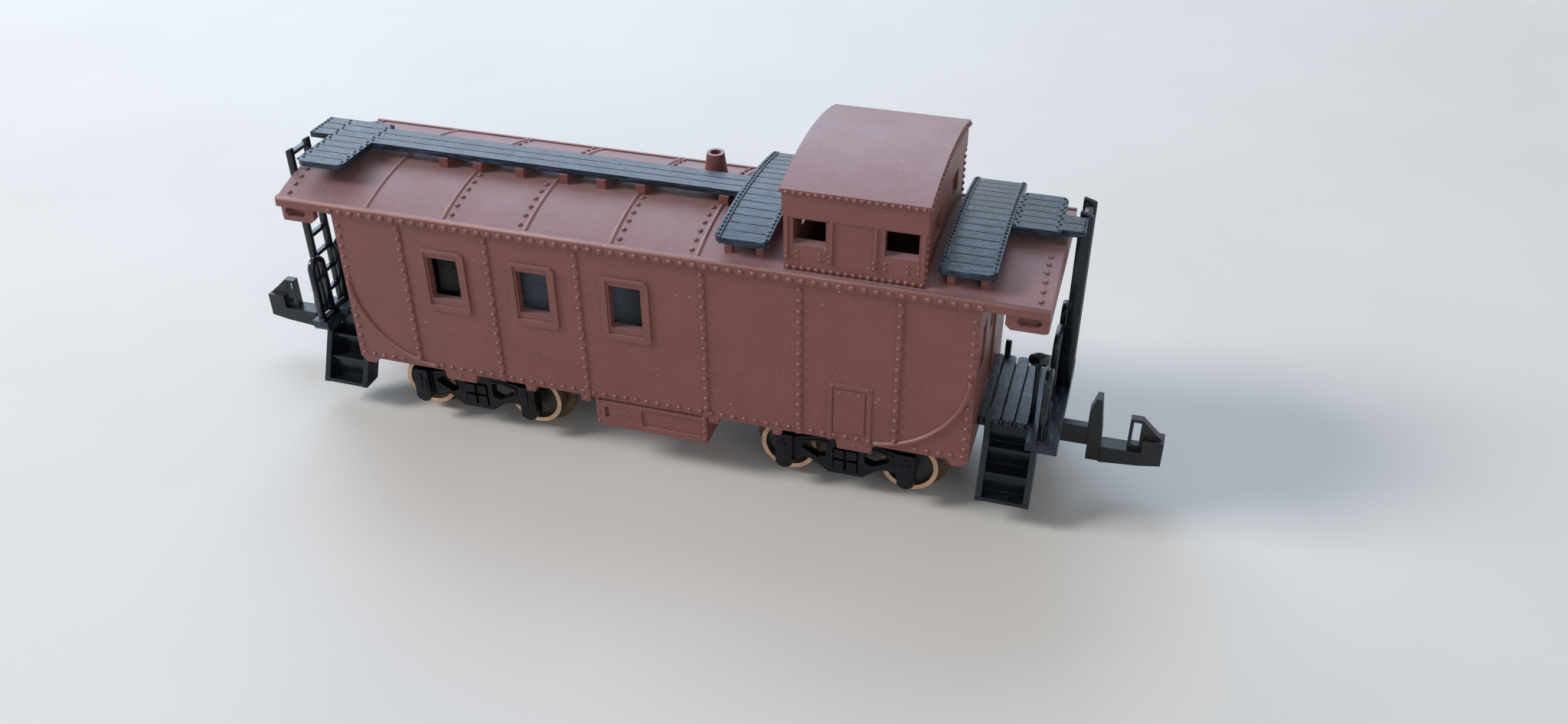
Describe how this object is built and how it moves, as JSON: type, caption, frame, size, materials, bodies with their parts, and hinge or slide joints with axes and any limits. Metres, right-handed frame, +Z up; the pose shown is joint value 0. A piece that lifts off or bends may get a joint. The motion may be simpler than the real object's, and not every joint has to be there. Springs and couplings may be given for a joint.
{
  "type": "model railway caboose",
  "caption": "Small-scale model of a railway caboose: rivet-sided body with a roof cupola, end platforms, steps and ladders, on swivelling trucks with hook-type couplers.",
  "frame": {"origin": "middle of the bounding box's bottom, under the middle of the body, at the wheel flanges' lowest point", "axes": "+X along the car towards the cupola, +Y across it to the far side, +Z up"},
  "size_m": [0.0848, 0.0168, 0.0298],
  "materials": {
    "body_plastic": "matte oxide red with light dust",
    "black_plastic": "semi-gloss black with a wood-grain relief on the planks",
    "truck_plastic": "semi-gloss black",
    "coupler_plastic": "satin brown-black",
    "wheel_metal": "dark wheels with worn bronze-coloured treads",
    "weight": "plain",
    "glazing": "clear plastic"
  },
  "bodies": {
    "root": {"body_shell": "body_plastic", "roof": "body_plastic", "cupola_walls": "body_plastic", "cupola_roof": "body_plastic", "smokejack": "body_plastic", "roof_walk": "black_plastic", "cross_walk_left": "black_plastic", "cross_walk_right": "black_plastic", "end_walk_right": "black_plastic", "underframe": "black_plastic", "weight": "weight", "side_box_near": "body_plastic", "side_box_far": "body_plastic", "glazing_near": "glazing", "glazing_far": "glazing", "platform_left": "black_plastic", "steps_left_near": "black_plastic", "steps_left_far": "black_plastic", "railing_left": "black_plastic", "ladder_left": "black_plastic", "hand_brake_left": "black_plastic", "truck_pin_left": "black_plastic", "platform_right": "black_plastic", "steps_right_near": "black_plastic", "steps_right_far": "black_plastic", "railing_right": "black_plastic", "ladder_right": "black_plastic", "hand_brake_right": "black_plastic", "truck_pin_right": "black_plastic"},
    "truck_left": {"truck_frame_left": "truck_plastic"},
    "coupler_left": {"coupler_left": "coupler_plastic"},
    "wheelset_left_inner": {"wheelset_left_inner": "wheel_metal"},
    "wheelset_left_outer": {"wheelset_left_outer": "wheel_metal"},
    "truck_right": {"truck_frame_right": "truck_plastic"},
    "coupler_right": {"coupler_right": "coupler_plastic"},
    "wheelset_right_inner": {"wheelset_right_inner": "wheel_metal"},
    "wheelset_right_outer": {"wheelset_right_outer": "wheel_metal"}
  },
  "joints": [
    {"name": "truck_swivel_left", "type": "hinge", "parent": "root", "child": "truck_left", "pos_m": [-0.0171, 0, 0.0052], "axis": [0, 0, 1], "range_deg": [-12, 12]},
    {"name": "coupler_lift_left", "type": "hinge", "parent": "truck_left", "child": "coupler_left", "pos_m": [-0.0258, 0, 0.00565], "axis": [0, 1, 0], "range_deg": [0, 4]},
    {"name": "wheel_spin_left_inner", "type": "hinge", "parent": "truck_left", "child": "wheelset_left_inner", "pos_m": [-0.01185, 0, 0.0032], "axis": [0, 1, 0], "continuous": true},
    {"name": "wheel_spin_left_outer", "type": "hinge", "parent": "truck_left", "child": "wheelset_left_outer", "pos_m": [-0.02235, 0, 0.0032], "axis": [0, 1, 0], "continuous": true},
    {"name": "truck_swivel_right", "type": "hinge", "parent": "root", "child": "truck_right", "pos_m": [0.0171, 0, 0.0052], "axis": [0, 0, 1], "range_deg": [-12, 12]},
    {"name": "coupler_lift_right", "type": "hinge", "parent": "truck_right", "child": "coupler_right", "pos_m": [0.0258, 0, 0.00565], "axis": [0, -1, 0], "range_deg": [0, 4]},
    {"name": "wheel_spin_right_inner", "type": "hinge", "parent": "truck_right", "child": "wheelset_right_inner", "pos_m": [0.01185, 0, 0.0032], "axis": [0, 1, 0], "continuous": true},
    {"name": "wheel_spin_right_outer", "type": "hinge", "parent": "truck_right", "child": "wheelset_right_outer", "pos_m": [0.02235, 0, 0.0032], "axis": [0, 1, 0], "continuous": true}
  ]
}
